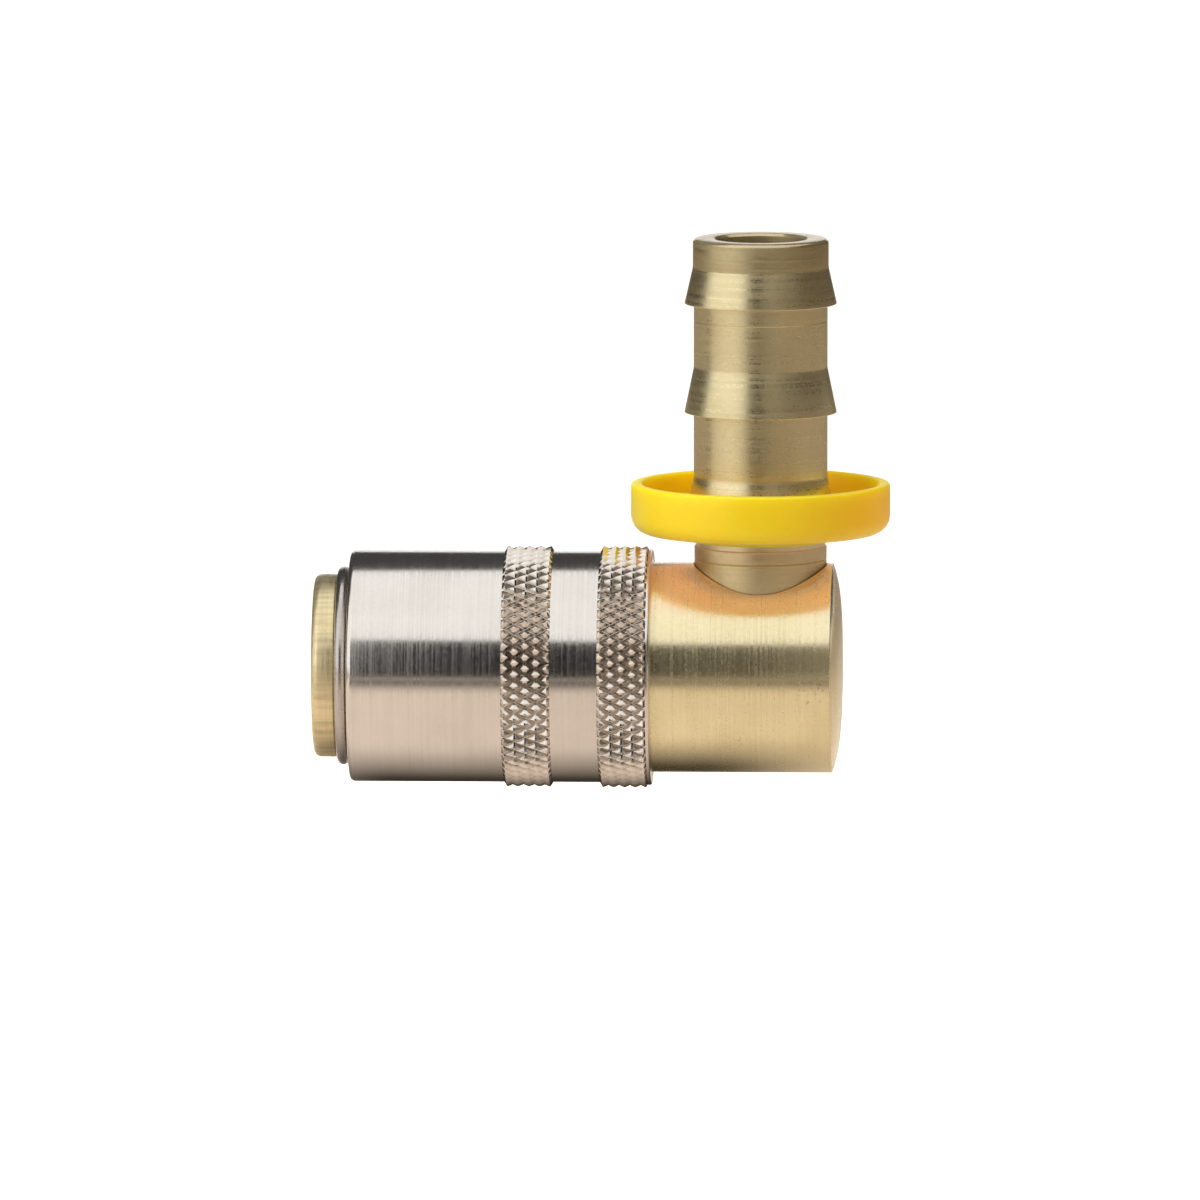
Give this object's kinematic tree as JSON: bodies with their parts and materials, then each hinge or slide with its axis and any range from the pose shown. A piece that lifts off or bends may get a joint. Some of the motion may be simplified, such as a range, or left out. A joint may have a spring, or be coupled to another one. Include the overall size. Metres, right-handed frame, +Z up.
{
  "type": "push-lock hose coupler",
  "caption": "Right-angle quick coupler: knurled ball-lock release sleeve, brass elbow and a barbed push-on hose stem with a loose collar.",
  "frame": {"origin": "on the socket's axis, where the guide bore for the plug starts, 0.8 mm behind the nose face", "axes": "+X from the nose to the elbow's heel, +Z up along the hose stem, +Y to the far side in the picture"},
  "size_m": [0.056, 0.0252, 0.0537],
  "materials": {
    "socket_brass": "turned, satin",
    "elbow_brass": "turned, bright",
    "stem_brass": "turned, satin",
    "valve_brass": "turned",
    "sleeve_nickel": "nickel plate, bright",
    "ring_steel": "drawn wire",
    "ball_steel": "polished",
    "spring_steel": "drawn wire",
    "collar_plastic": "moulded, half gloss",
    "seal_rubber": "smooth"
  },
  "bodies": {
    "body": {"socket_body": "socket_brass", "elbow_body": "elbow_brass", "hose_stem": "stem_brass", "snap_ring": "ring_steel", "plug_seal": "seal_rubber", "body_seal": "seal_rubber", "valve_guide": "valve_brass", "valve_spring": "spring_steel"},
    "collar": {"hose_collar": "collar_plastic"},
    "spring_turn": {"sleeve_spring": "spring_steel"},
    "sleeve": {"sleeve": "sleeve_nickel"},
    "valve": {"poppet": "valve_brass", "poppet_seal": "seal_rubber"},
    "ball_1": {"locking_ball_1": "ball_steel"},
    "ball_2": {"locking_ball_2": "ball_steel"},
    "ball_3": {"locking_ball_3": "ball_steel"},
    "ball_4": {"locking_ball_4": "ball_steel"},
    "ball_5": {"locking_ball_5": "ball_steel"},
    "ball_6": {"locking_ball_6": "ball_steel"},
    "ball_7": {"locking_ball_7": "ball_steel"},
    "ball_8": {"locking_ball_8": "ball_steel"}
  },
  "joints": [
    {"name": "collar_spin", "type": "hinge", "parent": "body", "child": "collar", "pos_m": [0.0426, 0, 0.0136], "axis": [0, 0, 1], "continuous": true},
    {"name": "sleeve_spin", "type": "hinge", "parent": "body", "child": "spring_turn", "pos_m": [0, 0, 0], "axis": [1, 0, 0], "continuous": true},
    {"name": "sleeve_slide", "type": "slide", "parent": "spring_turn", "child": "sleeve", "axis": [1, 0, 0], "range_m": [0, 0.0035], "stiffness_N_per_m": 3000, "springref_m": -0.004, "deforming": ["sleeve_spring"]},
    {"name": "valve_slide", "type": "slide", "parent": "body", "child": "valve", "axis": [1, 0, 0], "range_m": [0, 0.003], "stiffness_N_per_m": 1200, "springref_m": -0.004, "deforming": ["valve_spring"]},
    {"name": "ball_1_slide", "type": "slide", "parent": "body", "child": "ball_1", "axis": [0, -0.3827, 0.9239], "range_m": [0, 0.0009]},
    {"name": "ball_2_slide", "type": "slide", "parent": "body", "child": "ball_2", "axis": [0, -0.9239, 0.3827], "range_m": [0, 0.0009]},
    {"name": "ball_3_slide", "type": "slide", "parent": "body", "child": "ball_3", "axis": [0, -0.9239, -0.3827], "range_m": [0, 0.0009]},
    {"name": "ball_4_slide", "type": "slide", "parent": "body", "child": "ball_4", "axis": [0, -0.3827, -0.9239], "range_m": [0, 0.0009]},
    {"name": "ball_5_slide", "type": "slide", "parent": "body", "child": "ball_5", "axis": [0, 0.3827, -0.9239], "range_m": [0, 0.0009]},
    {"name": "ball_6_slide", "type": "slide", "parent": "body", "child": "ball_6", "axis": [0, 0.9239, -0.3827], "range_m": [0, 0.0009]},
    {"name": "ball_7_slide", "type": "slide", "parent": "body", "child": "ball_7", "axis": [0, 0.9239, 0.3827], "range_m": [0, 0.0009]},
    {"name": "ball_8_slide", "type": "slide", "parent": "body", "child": "ball_8", "axis": [0, 0.3827, 0.9239], "range_m": [0, 0.0009]}
  ],
  "couplings": [
    {"joint": "ball_1_slide", "follows": "sleeve_slide", "ratio": 0.257},
    {"joint": "ball_2_slide", "follows": "sleeve_slide", "ratio": 0.257},
    {"joint": "ball_3_slide", "follows": "sleeve_slide", "ratio": 0.257},
    {"joint": "ball_4_slide", "follows": "sleeve_slide", "ratio": 0.257},
    {"joint": "ball_5_slide", "follows": "sleeve_slide", "ratio": 0.257},
    {"joint": "ball_6_slide", "follows": "sleeve_slide", "ratio": 0.257},
    {"joint": "ball_7_slide", "follows": "sleeve_slide", "ratio": 0.257},
    {"joint": "ball_8_slide", "follows": "sleeve_slide", "ratio": 0.257}
  ]
}
